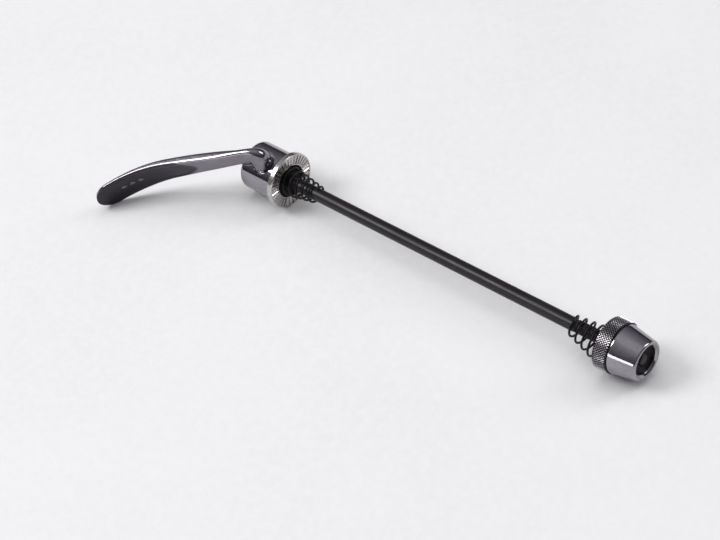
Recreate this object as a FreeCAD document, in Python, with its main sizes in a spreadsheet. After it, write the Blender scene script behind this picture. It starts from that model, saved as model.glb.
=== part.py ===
"""Bicycle wheel quick-release skewer with an enclosed cam, as a parametric FreeCAD document.

Frame, in millimetres: the origin is on the rod's axis in the plane of the cam-side clamping face,
+Y runs along the rod towards the cam and the lever, and +Z is up with the skewer lying on its
flange rim and lever tip. The cam axis leans back from +Z by the sheet's cam_tilt, so the pieces
round it are drawn upright, with the cam axis along their own Z, and tilted by their Placement.
"""
import FreeCAD, Part
import math
import os
import re
import Sketcher
from FreeCAD import Placement, Rotation, Vector

doc = FreeCAD.newDocument("quick_release_skewer")
SHEET_CELL = "Dimensions.%s"

# Driving dimensions: alias, value, meaning.
DIMENSIONS = [
    ("cam_tilt", 24.0, "lean of the cam axis back from vertical, degrees"),
    ("pivot_y", 8.7, "cam pivot above the cam-side clamping face"),
    ("clamp_span", 147.3, "distance between the two clamping faces"),
    ("rod_radius", 2.5, "M5 rod, plain shank"),
    ("thread_radius", 2.42, "rod over the rolled thread, under the nut's bore"),
    ("thread_start", 133.0, "start of the thread below the cam-side face"),
    ("rod_end", 162.3, "free end of the rod below the cam-side face"),
    ("rod_top", 6.0, "top end of the rod, inside the eye"),
    ("rod_chamfer", 0.6, "chamfer on the rod's free end"),
    ("housing_radius", 9.3, "cam housing"),
    ("housing_top", 17.8, "closed end of the cam housing"),
    ("housing_bore", 6.1, "bore that the rod's eye slides in"),
    ("bore_top", 15.2, "end of that bore"),
    ("housing_round", 1.6, "rounded closed edge"),
    ("ring_radius", 10.88, "serrated clamp ring, outside"),
    ("ring_hole", 6.5, "serrated clamp ring, hole"),
    ("ring_height", 2.2, "serrated clamp ring, thickness"),
    ("ring_round", 0.35, "rounded outer edge of the ring"),
    ("tooth_outer", 10.25, "outer end of the serrations"),
    ("tooth_half", 0.42, "half width of a serration groove"),
    ("tooth_depth", 0.6, "depth of a serration groove"),
    ("tooth_count", 36, "serrations round the ring"),
    ("guide_bore", 2.58, "rod guide round the rod"),
    ("guide_low", 0.9, "seat of the cam-side spring"),
    ("guide_top", 1.9, "inner face of the rod guide"),
    ("collar_radius", 3.6, "collar of the rod guide"),
    ("collar_low", 0.3, "open end of that collar"),
    ("lever_bore", 4.6, "cross bore on the lever side"),
    ("journal_radius", 4.0, "main journal of the cam shaft"),
    ("journal_start", 2.7, "main journal, inner end, from the rod's axis"),
    ("journal_end", 8.2, "main journal, outer end"),
    ("bush_clearance", 0.05, "running clearance of the journals"),
    ("lever_bush_start", 4.0, "lever-side bush, inner end"),
    ("lever_bush_end", 7.5, "lever-side bush, outer end"),
    ("seal_radius", 4.3, "shaft seal, centre of its section"),
    ("seal_section", 0.26, "shaft seal, radius of its section"),
    ("seal_height", 7.85, "shaft seal, from the rod's axis"),
    ("collar_bore", 4.08, "seal collar, bore round the journal"),
    ("collar_start", 8.15, "seal collar, inner face"),
    ("collar_end", 8.7, "seal collar, outer face"),
    ("cam_radius", 2.5, "eccentric, before its sleeve"),
    ("sleeve_radius", 2.8, "bearing sleeve on the eccentric"),
    ("cam_throw", 1.2, "eccentricity of the cam"),
    ("cam_phase", 129.0, "turn of the cam from fully open to the modelled pose, degrees"),
    ("end_bore", 3.4, "cross bore on the far side"),
    ("end_journal", 2.4, "end journal of the cam shaft"),
    ("end_journal_tip", 7.8, "end journal, outer end"),
    ("groove_radius", 2.1, "retaining ring groove"),
    ("end_bush_start", 4.4, "end bush, inner end"),
    ("end_recess_floor", 6.6, "floor of the recess for washer, ring and cap"),
    ("end_recess_radius", 3.9, "that recess"),
    ("washer_top", 6.95, "outer face of the thrust washer"),
    ("washer_radius", 3.7, "thrust washer"),
    ("clip_top", 7.45, "outer face of the retaining ring"),
    ("clip_radius", 3.5, "retaining ring"),
    ("clip_gap", 2.4, "opening of the retaining ring"),
    ("clip_play", 0.03, "play between washer and retaining ring"),
    ("cap_low", 7.95, "inner face of the end cap"),
    ("cap_top", 8.4, "outer face of the end cap"),
    ("cap_chamfer", 0.25, "chamfered edge of the end cap"),
    ("eye_centre", 9.22, "middle of the eye's window in the modelled pose"),
    ("eye_half_width", 5.4, "rod eye, across the rod"),
    ("eye_half_depth", 2.4, "rod eye, along the cam axis"),
    ("eye_above", 4.7, "rod eye, above the middle of its window"),
    ("eye_below", 5.3, "rod eye, below the middle of its window"),
    ("window_half_width", 4.15, "window of the rod eye, across the rod"),
    ("window_half_height", 3.1, "window of the rod eye, along the rod"),
    ("eye_round", 1.0, "rounded corners of the rod eye"),
    ("shank_radius", 3.8, "round root of the lever"),
    ("shank_start", 8.3, "lower end of that root"),
    ("shank_round", 3.0, "rounded elbow of the root"),
    ("tail_radius", 2.6, "splined tail of the cam shaft in the lever"),
    ("tail_end", 13.0, "end of that tail"),
    ("arm_low", 10.15, "lever arm near the root, side nearest the rod"),
    ("arm_high", 17.95, "lever arm near the root, outer side"),
    ("blade_low", 5.1, "lever blade near the tip, side nearest the rod"),
    ("blade_high", 18.6, "lever blade near the tip, outer side"),
    ("arm_offset", 1.19, "inner face of the arm past the cam axis"),
    ("arm_angle", 31.2, "straight part of the arm, from +Y, degrees"),
    ("arm_back", 3.0, "arm behind the cam axis"),
    ("arm_straight", 35.65, "straight part of the inner face"),
    ("arm_thick", 3.6, "thickness of the straight part"),
    ("outer_straight", 30.5, "straight part of the outer face"),
    ("bend_radius", 56.2, "bend of the inner face"),
    ("tip_angle", 64.2, "direction of the inner face at the tip, degrees"),
    ("tip_thick", 1.2, "thickness at the tip"),
    ("blade_angle", 39.8, "direction from the cam axis to the tip, degrees"),
    ("taper_start", 12.0, "start of the blade's widening"),
    ("taper_end", 50.0, "end of the blade's widening"),
    ("tip_reach", 67.6, "tip of the blade from the cam axis"),
    ("blade_edge", 0.2, "rounded long edges of the blade"),
    ("wire_radius", 0.42, "spring wire"),
    ("cam_spring_big", 5.4, "cam-side spring, coil radius at its seat"),
    ("cam_spring_small", 3.12, "cam-side spring, coil radius at its free end"),
    ("cam_spring_length", 14.4, "cam-side spring, between end coil centres"),
    ("cam_spring_turns", 5.25, "cam-side spring, turns"),
    ("nut_spring_big", 6.1, "nut-side spring, coil radius at the nut"),
    ("nut_spring_small", 3.25, "nut-side spring, coil radius at its free end"),
    ("nut_spring_length", 13.2, "nut-side spring, between end coil centres"),
    ("nut_spring_turns", 4.2, "nut-side spring, turns"),
    ("nut_spring_off", 3.3, "nut-side spring, first coil off the nut's face"),
    ("nut_spring_drop", 2.85, "nut-side spring, how far its wide end hangs below the rod's axis"),
    ("nut_spring_tilt", 12.0, "nut-side spring, slope of its axis to the rod, degrees"),
    ("spring_gap", 0.06, "end coil off its seat"),
    ("grip_radius", 9.86, "knurled grip ring"),
    ("grip_length", 5.8, "knurled grip ring"),
    ("grip_chamfer", 0.36, "chamfers of the grip ring"),
    ("face_radius", 9.0, "serrated nut face, outside"),
    ("face_hole", 6.0, "serrated nut face, hole"),
    ("face_height", 1.2, "serrated nut face, thickness"),
    ("face_tooth_outer", 8.75, "outer end of the nut's serrations"),
    ("face_tooth_half", 0.4, "half width of a nut serration"),
    ("face_tooth_depth", 0.5, "depth of a nut serration"),
    ("hub_radius", 7.6, "nut body inside the grip ring"),
    ("cone_start", 6.1, "cone of the nut body, wide end"),
    ("cone_big", 9.15, "cone of the nut body, wide end radius"),
    ("cone_small", 7.4, "cone of the nut body, small end radius"),
    ("nut_length", 16.4, "nut from its clamping face"),
    ("nut_round", 0.7, "rounded small end of the cone"),
    ("core_radius", 4.5, "threaded core of the nut, outside"),
    ("core_bore", 2.47, "threaded core of the nut, bore"),
    ("core_end", 10.0, "threaded core, outer end"),
    ("mouth_radius", 5.4, "open mouth of the nut"),
    ("mouth_floor", 13.2, "floor of that mouth"),
    ("insert_end", 14.6, "outer face of the locking insert"),
]

sheet = doc.addObject("Spreadsheet::Sheet", "Dimensions")
for row, (alias, value, meaning) in enumerate(DIMENSIONS, start=1):
    sheet.set("A%d" % row, meaning)
    sheet.set("B%d" % row, str(value))
    sheet.setAlias("B%d" % row, alias)
doc.recompute()

ALIASES = {alias for alias, value, meaning in DIMENSIONS}
NODES = []

# Place of the eccentric beside the pivot, at right angles to the rod and along it.
LIFT_ACROSS = "cam_throw * sin(cam_phase)"
LIFT_ALONG = "-cam_throw * cos(cam_phase)"


def sized(formula):
    """Write a formula of the sheet's aliases as an expression on the sheet."""
    return re.sub(r"[a-z_]+", lambda word: SHEET_CELL % word[0] if word[0] in ALIASES else word[0], formula)


def number(formula):
    """Value of such a formula, as a plain number."""
    result = sheet.evalExpression(sized(formula))
    return float(getattr(result, "Value", result))


def plane_of(body, role):
    """Origin plane of a body, found by its role."""
    return next(part for part in body.Origin.OriginFeatures if part.Role == role)


def new_body(name, height="0", tilted=False):
    """Add a named body whose own origin stands on the rod's axis at that height."""
    body = doc.addObject("PartDesign::Body", name)
    body.Label = name
    angle = -number("cam_tilt") if tilted else 0.0
    body.Placement = Placement(Vector(0, number(height), 0), Rotation(Vector(0, 1, 0), angle))
    body.setExpression(".Placement.Base.y", sized(height))
    NODES.append(body)
    return body


def new_sketch(body, name, role, offset=None):
    """Add a sketch on one of the body's own origin planes."""
    sketch = body.newObject("Sketcher::SketchObject", body.Name + "_" + name)
    sketch.AttachmentSupport = (plane_of(body, role), [""])
    sketch.MapMode = "FlatFace"
    if offset is not None:
        sketch.AttachmentOffset = offset
    return sketch


def fix_point(sketch, line, end, corner):
    """Bind a point of the sketch to its two formulas."""
    for kind, formula in zip(("DistanceX", "DistanceY"), corner):
        index = sketch.addConstraint(Sketcher.Constraint(kind, -1, 1, line, end, number(formula)))
        sketch.setExpression("Constraints[%d]" % index, sized(formula))


def outline(sketch, corners, bends=()):
    """Draw a closed outline through the corners.

    Each corner is a pair of formulas. A bend (i, side) makes the edge that leaves corner i an arc
    tangent to the edge before it (side "before") or after it (side "after").
    """
    places = [Vector(number(across), number(along), 0) for across, along in corners]
    count = len(places)
    arcs = dict(bends)
    first = sketch.GeometryCount
    for index, start in enumerate(places):
        stop = places[(index + 1) % count]
        if index not in arcs:
            sketch.addGeometry(Part.LineSegment(start, stop))
            continue
        if arcs[index] == "before":
            middle = arc_middle(start, stop, start - places[index - 1])
        else:
            middle = arc_middle(stop, start, stop - places[(index + 2) % count])
        clockwise = (middle - start).cross(stop - middle).z < 0
        sketch.addGeometry(Part.ArcOfCircle(*((stop, middle, start) if clockwise else (start, middle, stop))))
    ends = [end_points(sketch, first + index, place) for index, place in enumerate(places)]
    smooth = {index if side == "before" else (index + 1) % count for index, side in arcs.items()}
    for index, (here, there) in enumerate(ends):
        following = (index + 1) % count
        kind = "Tangent" if following in smooth else "Coincident"
        touching = (first + index, there, first + following, ends[following][0])
        sketch.addConstraint(Sketcher.Constraint(kind, *touching))
        fix_point(sketch, first + index, here, corners[index])
    return sketch


def arc_middle(start, stop, pull):
    """Middle of the arc that leaves start along pull and reaches stop."""
    chord = stop - start
    bend = math.atan2(pull.x * chord.y - pull.y * chord.x, pull.dot(chord))
    radius = chord.Length / (2 * math.sin(bend))
    half_chord = Vector(pull).normalize() * (2 * radius * math.sin(bend / 2))
    return start + Rotation(Vector(0, 0, 1), math.degrees(bend / 2)).multVec(half_chord)


def end_points(sketch, line, place):
    """Sketcher numbers of the edge's end at that place, and of its other end."""
    edge = sketch.Geometry[line]
    nearer = (edge.StartPoint - place).Length <= (edge.EndPoint - place).Length
    return (1, 2) if nearer else (2, 1)


def circle(sketch, across, along, radius):
    """Draw a circle whose centre and radius are bound to formulas."""
    centre = Vector(number(across), number(along), 0)
    index = sketch.addGeometry(Part.Circle(centre, Vector(0, 0, 1), number(radius)))
    fix_point(sketch, index, 3, (across, along))
    size = sketch.addConstraint(Sketcher.Constraint("Radius", index, number(radius)))
    sketch.setExpression("Constraints[%d]" % size, sized(radius))
    return sketch


def turned(body, name, corners, role="XY_Plane"):
    """Revolve an outline of (radius, along) corners about the sketch's upright axis."""
    sketch = outline(new_sketch(body, name, role), corners)
    feature = body.newObject("PartDesign::Revolution", body.Name + "_" + name + "_turned")
    feature.Profile = sketch
    feature.ReferenceAxis = (sketch, ["V_Axis"])
    feature.Angle = 360
    doc.recompute()
    return feature


def padded(body, sketch, depth, midplane=False, backwards=False):
    """Pad a sketch by a bound depth."""
    feature = body.newObject("PartDesign::Pad", sketch.Name + "_pad")
    feature.Profile = sketch
    feature.SideType = "Symmetric" if midplane else "One side"
    feature.Reversed = backwards
    feature.setExpression("Length", sized(depth))
    doc.recompute()
    return feature


def pocketed(body, sketch, depth, midplane=False, backwards=False):
    """Cut a sketch out of the body by a bound depth, and insist that it removes something."""
    before = body.Shape.Volume
    feature = body.newObject("PartDesign::Pocket", sketch.Name + "_cut")
    feature.Profile = sketch
    feature.SideType = "Symmetric" if midplane else "One side"
    feature.Reversed = backwards
    feature.setExpression("Length", sized(depth))
    doc.recompute()
    if body.Shape.Volume > before - 1e-3:
        raise RuntimeError(feature.Name + " cuts nothing")
    return feature


def dressed(body, kind, name, edges, size):
    """Add a fillet or chamfer of a bound size on the tip's chosen edges."""
    base = body.Tip
    feature = body.newObject("PartDesign::" + kind, body.Name + "_" + name)
    feature.Base = (base, edges)
    feature.setExpression("Radius" if kind == "Fillet" else "Size", sized(size))
    doc.recompute()
    return feature


def edges_where(body, test):
    """Names of the tip's edges that pass a test."""
    edges = body.Tip.Shape.Edges
    return ["Edge%d" % index for index, edge in enumerate(edges, start=1) if test(edge)]


def ring_edge(radius, height):
    """Test for a whole circle of that radius round Y at that height."""
    def test(edge):
        box = edge.BoundBox
        round_edge = edge.Curve.TypeId == "Part::GeomCircle" and edge.Closed
        return round_edge and abs(edge.Curve.Radius - radius) < 1e-4 and abs(box.Center.y - height) < 1e-4
    return test


def ring_of(name, inner, outer, low, high, height="0", tilted=False, role="XY_Plane"):
    """Make a plain ring, as a revolved rectangle."""
    body = new_body(name, height, tilted)
    turned(body, "section", [(inner, low), (outer, low), (outer, high), (inner, high)], role)
    return body


def serrate(body, inner, outer, half, depth, facing):
    """Cut radial V grooves into the face at the body's own height 0.

    The face looks along -Y for facing 1, and along +Y for facing -1.
    """
    offset = Placement(Vector(0, 0, number(outer)), Rotation())
    sketch = new_sketch(body, "groove", "YZ_Plane", offset)
    sketch.setExpression(".AttachmentOffset.Base.z", sized(outer))
    deep = depth if facing > 0 else "-" + depth
    outline(sketch, [("0", "-" + half), (deep, "0"), ("0", half)])
    groove = pocketed(body, sketch, outer + " - " + inner)
    pattern = body.newObject("PartDesign::PolarPattern", body.Name + "_grooves")
    pattern.Originals = [groove]
    pattern.Axis = (plane_of(body, "Y_Axis"), [""])
    pattern.Angle = 360
    pattern.setExpression("Occurrences", sized("tooth_count"))
    body.Tip = pattern
    doc.recompute()
    return pattern


def make_cam_housing():
    """Chromed cup that holds the cam, open towards the hub, with a cross bore for the cam shaft."""
    body = new_body("cam_housing", tilted=True)
    turned(body, "wall", [
        ("housing_bore", "ring_height"),
        ("housing_radius", "ring_height"),
        ("housing_radius", "housing_top"),
        ("0", "housing_top"),
        ("0", "bore_top"),
        ("housing_bore", "bore_top"),
    ])
    rim = edges_where(body, ring_edge(number("housing_radius"), number("housing_top")))
    dressed(body, "Fillet", "closed_edge", rim, "housing_round")
    lever_side = circle(new_sketch(body, "lever_bore", "XY_Plane"), "0", "pivot_y", "lever_bore")
    pocketed(body, lever_side, "housing_radius + 1", backwards=True)
    far_side = circle(new_sketch(body, "end_bore", "XY_Plane"), "0", "pivot_y", "end_bore")
    pocketed(body, far_side, "housing_radius + 1")
    seat = Placement(Vector(0, 0, -number("end_recess_floor")), Rotation())
    recess = new_sketch(body, "end_recess", "XY_Plane", seat)
    recess.setExpression(".AttachmentOffset.Base.z", sized("-end_recess_floor"))
    circle(recess, "0", "pivot_y", "end_recess_radius")
    pocketed(body, recess, "housing_radius")


def make_clamp_ring():
    """Steel ring with radial serrations that bites into the fork or frame end."""
    body = new_body("clamp_ring", tilted=True)
    turned(body, "section", [
        ("ring_hole", "0"),
        ("ring_radius", "0"),
        ("ring_radius", "ring_height"),
        ("ring_hole", "ring_height"),
    ])
    rims = edges_where(body, ring_edge(number("ring_radius"), 0.0))
    rims += edges_where(body, ring_edge(number("ring_radius"), number("ring_height")))
    dressed(body, "Fillet", "rims", rims, "ring_round")
    serrate(body, "ring_hole - 0.3", "tooth_outer", "tooth_half", "tooth_depth", 1)


def make_rod_guide():
    """Black nylon disc in the ring's hole that keeps the rod central and seats the spring."""
    body = new_body("rod_guide")
    turned(body, "section", [
        ("guide_bore", "collar_low"),
        ("collar_radius", "collar_low"),
        ("collar_radius", "guide_low"),
        ("ring_hole", "guide_low"),
        ("ring_hole", "guide_top"),
        ("guide_bore", "guide_top"),
    ])


def stub(body, name, radius, low, high, across="0", along="0"):
    """Pad a round stub along the body's Z between two heights."""
    sketch = new_sketch(body, name, "XY_Plane")
    sketch.setExpression(".AttachmentOffset.Base.z", sized(low))
    circle(sketch, across, along, radius)
    return padded(body, sketch, "(%s) - (%s)" % (high, low))


def make_bearings():
    """Bushes, shaft seal and its collar, thrust washer and end cap, pressed in on the cam axis."""
    axis = {"height": "pivot_y", "tilted": True, "role": "XZ_Plane"}
    ring_of("lever_bush", "journal_radius + bush_clearance", "lever_bore",
            "lever_bush_start", "lever_bush_end", **axis)
    ring_of("end_bush", "end_journal + bush_clearance", "end_bore",
            "-end_bush_start", "-end_recess_floor", **axis)
    ring_of("thrust_washer", "end_journal + bush_clearance", "washer_radius",
            "-end_recess_floor", "-washer_top", **axis)
    cap = ring_of("end_cap", "0", "end_recess_radius", "-cap_low", "-cap_top", **axis)
    rim = edges_where(cap, lambda edge: abs(edge.BoundBox.Center.z + number("cap_top")) < 1e-4)
    dressed(cap, "Chamfer", "rim", rim, "cap_chamfer")
    seal = doc.addObject("Part::Torus", "shaft_seal")
    seal.Label = "shaft_seal"
    seal.setExpression("Radius1", sized("seal_radius"))
    seal.setExpression("Radius2", sized("seal_section"))
    tilt = Rotation(Vector(0, 1, 0), -number("cam_tilt"))
    middle = tilt.multVec(Vector(0, 0, number("seal_height")))
    seal.Placement = Placement(middle + Vector(0, number("pivot_y"), 0), tilt)
    NODES.append(seal)
    ring_of("seal_collar", "collar_bore", "lever_bore", "collar_start", "collar_end", **axis)


def make_cam_shaft():
    """Hardened shaft with its eccentric between two journals and a splined tail in the lever."""
    shaft = new_body("cam_shaft", "pivot_y", tilted=True)
    stub(shaft, "end_journal", "end_journal", "-end_journal_tip", "-journal_start")
    stub(shaft, "eccentric", "cam_radius", "-journal_start", "journal_start", LIFT_ACROSS, LIFT_ALONG)
    stub(shaft, "main_journal", "journal_radius", "journal_start", "journal_end")
    stub(shaft, "tail", "tail_radius", "journal_end", "tail_end")
    section = outline(new_sketch(shaft, "clip_groove", "XZ_Plane"), [
        ("groove_radius", "-clip_top"),
        ("end_journal + 1", "-clip_top"),
        ("end_journal + 1", "-washer_top - clip_play"),
        ("groove_radius", "-washer_top - clip_play"),
    ])
    groove = shaft.newObject("PartDesign::Groove", "cam_shaft_clip_groove_cut")
    groove.Profile = section
    groove.ReferenceAxis = (section, ["V_Axis"])
    groove.Angle = 360
    doc.recompute()

    sleeve = new_body("cam_sleeve", "pivot_y", tilted=True)
    wall = new_sketch(sleeve, "wall", "XY_Plane")
    circle(wall, LIFT_ACROSS, LIFT_ALONG, "sleeve_radius")
    circle(wall, LIFT_ACROSS, LIFT_ALONG, "cam_radius")
    padded(sleeve, wall, "2 * eye_half_depth", midplane=True)

    clip = ring_of("retaining_ring", "groove_radius", "clip_radius", "-washer_top - clip_play", "-clip_top",
                   "pivot_y", True, "XZ_Plane")
    opening = outline(new_sketch(clip, "opening", "XY_Plane"), [
        ("-clip_gap / 2", "0"),
        ("clip_gap / 2", "0"),
        ("clip_gap / 2", "clip_radius + 1"),
        ("-clip_gap / 2", "clip_radius + 1"),
    ])
    pocketed(clip, opening, "cap_top")


def make_lever():
    """Forged lever: a round root on the cam axis, a straight arm and a thin blade that curls in."""
    lever = new_body("lever_arm", "pivot_y", tilted=True)
    side = new_sketch(lever, "side", "XY_Plane")
    side.setExpression(".AttachmentOffset.Base.z", sized("blade_low"))
    inner_end = ("-(arm_offset + arm_straight * sin(arm_angle))", "arm_straight * cos(arm_angle)")
    tip_inner = (
        inner_end[0] + " - bend_radius * (cos(arm_angle) - cos(tip_angle))",
        inner_end[1] + " + bend_radius * (sin(tip_angle) - sin(arm_angle))",
    )
    outline(side, [
        ("-(arm_offset - arm_back * sin(arm_angle))", "-arm_back * cos(arm_angle)"),
        inner_end,
        tip_inner,
        (tip_inner[0] + " + tip_thick * cos(tip_angle)", tip_inner[1] + " + tip_thick * sin(tip_angle)"),
        ("-(arm_offset + outer_straight * sin(arm_angle) - arm_thick * cos(arm_angle))",
         "outer_straight * cos(arm_angle) + arm_thick * sin(arm_angle)"),
        ("-(arm_offset - arm_back * sin(arm_angle) - arm_thick * cos(arm_angle))",
         "-arm_back * cos(arm_angle) + arm_thick * sin(arm_angle)"),
    ], bends=[(1, "before"), (3, "after")])
    padded(lever, side, "blade_high - blade_low")

    across_blade = Placement(Vector(), Rotation(Vector(0, 1, 0), number("blade_angle")))
    plan = new_sketch(lever, "plan", "YZ_Plane", across_blade)
    plan.setExpression(".AttachmentOffset.Rotation.Angle", sized("blade_angle"))
    outline(plan, [
        ("-tip_reach", "0"),
        ("2 * tip_reach", "0"),
        ("2 * tip_reach", "2 * blade_high"),
        ("-tip_reach", "2 * blade_high"),
    ])
    round_end = "tip_reach - (blade_high - blade_low) / 2"
    outline(plan, [
        ("-shank_radius - 1", "arm_low"),
        ("taper_start", "arm_low"),
        ("taper_end", "blade_low"),
        (round_end, "blade_low"),
        (round_end, "blade_high"),
        ("taper_end", "blade_high"),
        ("taper_start", "arm_high"),
        ("-shank_radius - 1", "arm_high"),
    ], bends=[(3, "before")])
    pocketed(lever, plan, "4 * tip_reach", midplane=True)
    long_edges = edges_where(lever, lambda edge: edge.Length > number("blade_high - blade_low"))
    dressed(lever, "Fillet", "long_edges", long_edges, "blade_edge")

    root = outline(new_sketch(lever, "root", "XZ_Plane"), [
        ("0", "shank_start"),
        ("shank_radius", "shank_start"),
        ("shank_radius", "arm_high - shank_round"),
        ("shank_radius - shank_round", "arm_high"),
        ("0", "arm_high"),
    ], bends=[(2, "before")])
    turned_root = lever.newObject("PartDesign::Revolution", "lever_arm_root_turned")
    turned_root.Profile = root
    turned_root.ReferenceAxis = (root, ["V_Axis"])
    turned_root.Angle = 360
    doc.recompute()
    socket = new_sketch(lever, "socket", "XY_Plane")
    socket.setExpression(".AttachmentOffset.Base.z", sized("shank_start"))
    circle(socket, "0", "0", "tail_radius")
    pocketed(lever, socket, "tail_end - shank_start", backwards=True)


def make_rod():
    """Threaded rod, and the eye on its top end that the eccentric pulls."""
    turned(new_body("skewer_rod"), "section", [
        ("0", "-rod_end"),
        ("thread_radius - rod_chamfer", "-rod_end"),
        ("thread_radius", "-rod_end + rod_chamfer"),
        ("thread_radius", "-thread_start"),
        ("rod_radius", "-thread_start + rod_radius - thread_radius"),
        ("rod_radius", "rod_top"),
        ("0", "rod_top"),
    ])
    eye = new_body("rod_eye", "eye_centre", tilted=True)
    padded(eye, outline(new_sketch(eye, "block", "XY_Plane"), [
        ("-eye_half_width", "-eye_below"),
        ("eye_half_width", "-eye_below"),
        ("eye_half_width", "eye_above"),
        ("-eye_half_width", "eye_above"),
    ]), "2 * eye_half_depth", midplane=True)
    upright = edges_where(eye, lambda edge: edge.BoundBox.ZLength > number("2 * eye_half_depth") - 1e-4)
    dressed(eye, "Fillet", "corners", upright, "eye_round")
    window = outline(new_sketch(eye, "window", "XY_Plane"), [
        ("-window_half_width", "-window_half_height"),
        ("window_half_width", "-window_half_height"),
        ("window_half_width", "window_half_height"),
        ("-window_half_width", "window_half_height"),
    ])
    pocketed(eye, window, "4 * eye_half_depth", midplane=True)
    socket = new_sketch(eye, "socket", "XZ_Plane")
    socket.setExpression(".AttachmentOffset.Base.z", sized("eye_below"))
    circle(socket, "0", "0", "rod_radius")
    pocketed(eye, socket, "eye_below - window_half_height")


def make_spring(name, big, small, length, turns, along, drop, turn_over):
    """Sweep a conical left-hand coil from its big end to its small one; turn_over aims its axis."""
    helix = doc.addObject("Part::Helix", name + "_path")
    helix.LocalCoord = "Left-handed"
    helix.setExpression("Radius", sized(big))
    helix.setExpression("Height", sized(length))
    helix.setExpression("Pitch", sized("%s / %s" % (length, turns)))
    helix.setExpression("Angle", sized("atan((%s - %s) / %s)" % (small, big, length)))
    helix.SegmentLength = 0.5
    wire = doc.addObject("Part::Circle", name + "_wire")
    wire.setExpression("Radius", sized("wire_radius"))
    wire.Placement = Placement(Vector(number(big), 0, 0), Rotation(Vector(1, 0, 0), 90))
    wire.setExpression(".Placement.Base.x", sized(big))
    doc.recompute()
    spring = doc.addObject("Part::Sweep", name)
    spring.Label = name
    spring.Sections = [wire]
    spring.Spine = (helix, ["Edge%d" % index for index in range(1, len(helix.Shape.Edges) + 1)])
    spring.Solid = True
    spring.Frenet = False
    doc.recompute()
    place = Vector(0, number(along), -number(drop))
    spring.Placement = Placement(place, Rotation(Vector(1, 0, 0), turn_over))
    NODES.append(spring)


def make_springs():
    """Two conical springs that keep the ends off the hub while the wheel goes in."""
    make_spring("cam_side_spring", "cam_spring_big", "cam_spring_small", "cam_spring_length",
                "cam_spring_turns", "guide_low - wire_radius - spring_gap", "0", 90)
    make_spring("nut_side_spring", "nut_spring_big", "nut_spring_small", "nut_spring_length",
                "nut_spring_turns", "nut_spring_off - clamp_span", "nut_spring_drop",
                number("nut_spring_tilt") - 90)


def make_nut():
    """Adjusting nut, with its knurled grip ring, serrated face, threaded core and locking insert."""
    foot = "-clamp_span"
    shell = new_body("adjusting_nut", foot)
    turned(shell, "section", [
        ("core_radius", "-face_height"),
        ("hub_radius", "-face_height"),
        ("hub_radius", "-grip_length"),
        ("cone_big", "-grip_length"),
        ("cone_big", "-cone_start"),
        ("cone_small", "-nut_length"),
        ("mouth_radius", "-nut_length"),
        ("mouth_radius", "-mouth_floor"),
        ("core_radius", "-mouth_floor"),
    ])
    rim = edges_where(shell, ring_edge(number("cone_small"), -number("nut_length")))
    dressed(shell, "Fillet", "small_end", rim, "nut_round")
    turned(new_body("nut_grip_ring", foot), "section", [
        ("hub_radius", "-face_height"),
        ("face_radius", "-face_height"),
        ("face_radius", "0"),
        ("grip_radius - grip_chamfer", "0"),
        ("grip_radius", "-grip_chamfer"),
        ("grip_radius", "grip_chamfer - grip_length"),
        ("grip_radius - grip_chamfer", "-grip_length"),
        ("hub_radius", "-grip_length"),
    ])
    face = ring_of("nut_face_ring", "face_hole", "face_radius", "-face_height", "0", foot)
    serrate(face, "face_hole - 0.3", "face_tooth_outer", "face_tooth_half", "face_tooth_depth", -1)
    ring_of("nut_thread_core", "core_bore", "core_radius", "-core_end", "-face_height", foot)
    turned(new_body("nut_lock_insert", foot), "section", [
        ("core_bore", "-core_end"),
        ("core_radius", "-core_end"),
        ("core_radius", "-mouth_floor"),
        ("mouth_radius", "-mouth_floor"),
        ("mouth_radius", "-insert_end"),
        ("core_bore", "-insert_end"),
    ])


def check_and_export():
    """Stop at any failed object or bad solid, then write one STEP file for each piece."""
    doc.recompute()
    for thing in doc.Objects:
        if "Invalid" in thing.State or "Error" in thing.State:
            raise RuntimeError("%s failed: %s" % (thing.Name, thing.State))
    for node in NODES:
        if node.Shape.isNull() or not node.Shape.isValid():
            raise RuntimeError(node.Label + " has no valid shape")
        if len(node.Shape.Solids) != 1:
            raise RuntimeError("%s has %d solids" % (node.Label, len(node.Shape.Solids)))
    os.makedirs("parts", exist_ok=True)
    for node in NODES:
        node.Shape.exportStep("parts/%s.step" % node.Label)
        print("%-18s %9.2f mm3" % (node.Label, node.Shape.Volume))


make_cam_housing()
make_clamp_ring()
make_rod_guide()
make_bearings()
make_cam_shaft()
make_lever()
make_rod()
make_springs()
make_nut()
check_and_export()
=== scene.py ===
"""Looks of a bicycle wheel's quick-release skewer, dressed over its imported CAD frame.

Everything is in metres, in the frame of the CAD: the rod lies along Y with the cam and the lever at +Y,
and Z is up. The lever's own frame has its Z along the cam axis, which leans by CAM_TILT about Y.
Sizes in the classes are in millimetres, and MM turns them into metres.
"""
import logging
import math
from collections.abc import Sequence
from dataclasses import dataclass
from enum import Enum

import bmesh
import bpy
from mathutils import Matrix, Vector


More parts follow.
